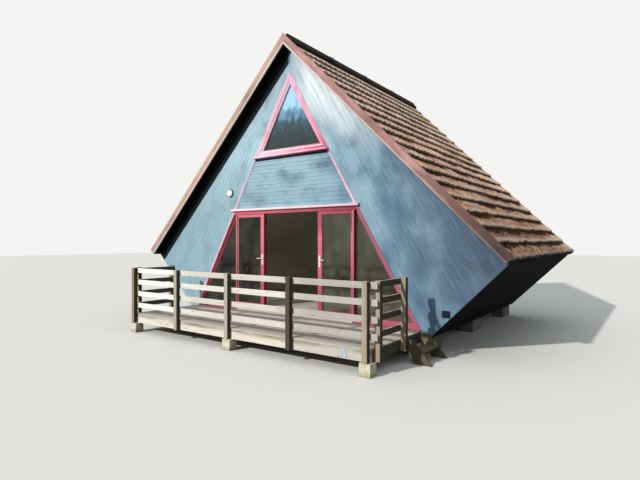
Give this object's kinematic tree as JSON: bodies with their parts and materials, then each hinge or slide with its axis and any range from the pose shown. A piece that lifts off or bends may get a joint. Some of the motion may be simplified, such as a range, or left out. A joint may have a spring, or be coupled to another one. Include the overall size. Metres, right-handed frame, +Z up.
{
  "type": "a-frame cabin",
  "caption": "Timber A-frame cabin with a triangular glazed front, sliding doors, tiled roof to the eaves, leaning lower walls and a railed deck with side steps.",
  "frame": {"origin": "centre of the whole outline at ground level", "axes": "+X to the right seen from the front, +Y from the deck towards the rear wall, +Z up"},
  "size_m": [9.2022, 8.05, 6.3892],
  "materials": {
    "foundation_block": "fair-faced concrete block",
    "floor_board": "pale boards",
    "side_wall_stain": "black-brown stain",
    "soffit_stain": "black-brown stain",
    "roof_tile": "weathered brown tile",
    "ridge_metal": "dark brown coating",
    "barge_paint": "weathered brown paint",
    "wall_paint": "weathered blue paint",
    "red_paint": "satin red paint",
    "door_paint": "satin red paint",
    "pane_glass": "clear sealed pane",
    "handle_coating": "white powder coat",
    "deck_timber": "weathered bare softwood",
    "threshold_timber": "pale weathered timber",
    "pier_render": "pale lichened render",
    "lamp_plastic": "opal white",
    "vent_plastic": "dark blue"
  },
  "bodies": {
    "cabin": {"foundation_piers": "foundation_block", "floor": "floor_board", "side_wall_left": "side_wall_stain", "side_wall_right": "side_wall_stain", "roof_panel_left": "soffit_stain", "roof_panel_right": "soffit_stain", "roof_tiles_left": "roof_tile", "roof_tiles_right": "roof_tile", "ridge_cap": "ridge_metal", "barge_front_left": "barge_paint", "barge_front_right": "barge_paint", "barge_rear_left": "barge_paint", "barge_rear_right": "barge_paint", "front_wall_left": "wall_paint", "front_wall_right": "wall_paint", "front_wall_middle": "wall_paint", "rear_wall": "wall_paint", "window_frame": "red_paint", "window_glass": "pane_glass", "window_sill": "red_paint", "rear_window_frame": "red_paint", "rear_window_glass": "pane_glass", "red_strips": "red_paint", "ledge": "red_paint", "door_jamb_left": "red_paint", "door_jamb_right": "red_paint", "door_head": "red_paint", "threshold": "threshold_timber", "door_posts": "red_paint", "side_light_rails": "red_paint", "side_light_glass": "pane_glass", "fixed_frames": "red_paint", "fixed_glass": "pane_glass", "deck_frame": "deck_timber", "deck_boards": "deck_timber", "deck_fascia": "deck_timber", "deck_piers": "pier_render", "deck_posts": "deck_timber", "front_rails": "deck_timber", "side_rails": "deck_timber", "step_stringers": "deck_timber", "step_treads": "deck_timber", "wall_lamp": "lamp_plastic", "vent_hood": "vent_plastic"},
    "leaf_left": {"door_left": "door_paint", "door_left_glass": "pane_glass", "door_left_handle": "handle_coating"},
    "leaf_right": {"door_right": "door_paint", "door_right_glass": "pane_glass", "door_right_handle": "handle_coating"}
  },
  "joints": [
    {"name": "door_left_slide", "type": "slide", "parent": "cabin", "child": "leaf_left", "axis": [1, 0, 0], "range_m": [0, 0.734]},
    {"name": "door_right_slide", "type": "slide", "parent": "cabin", "child": "leaf_right", "axis": [-1, 0, 0], "range_m": [0, 0.734]}
  ]
}
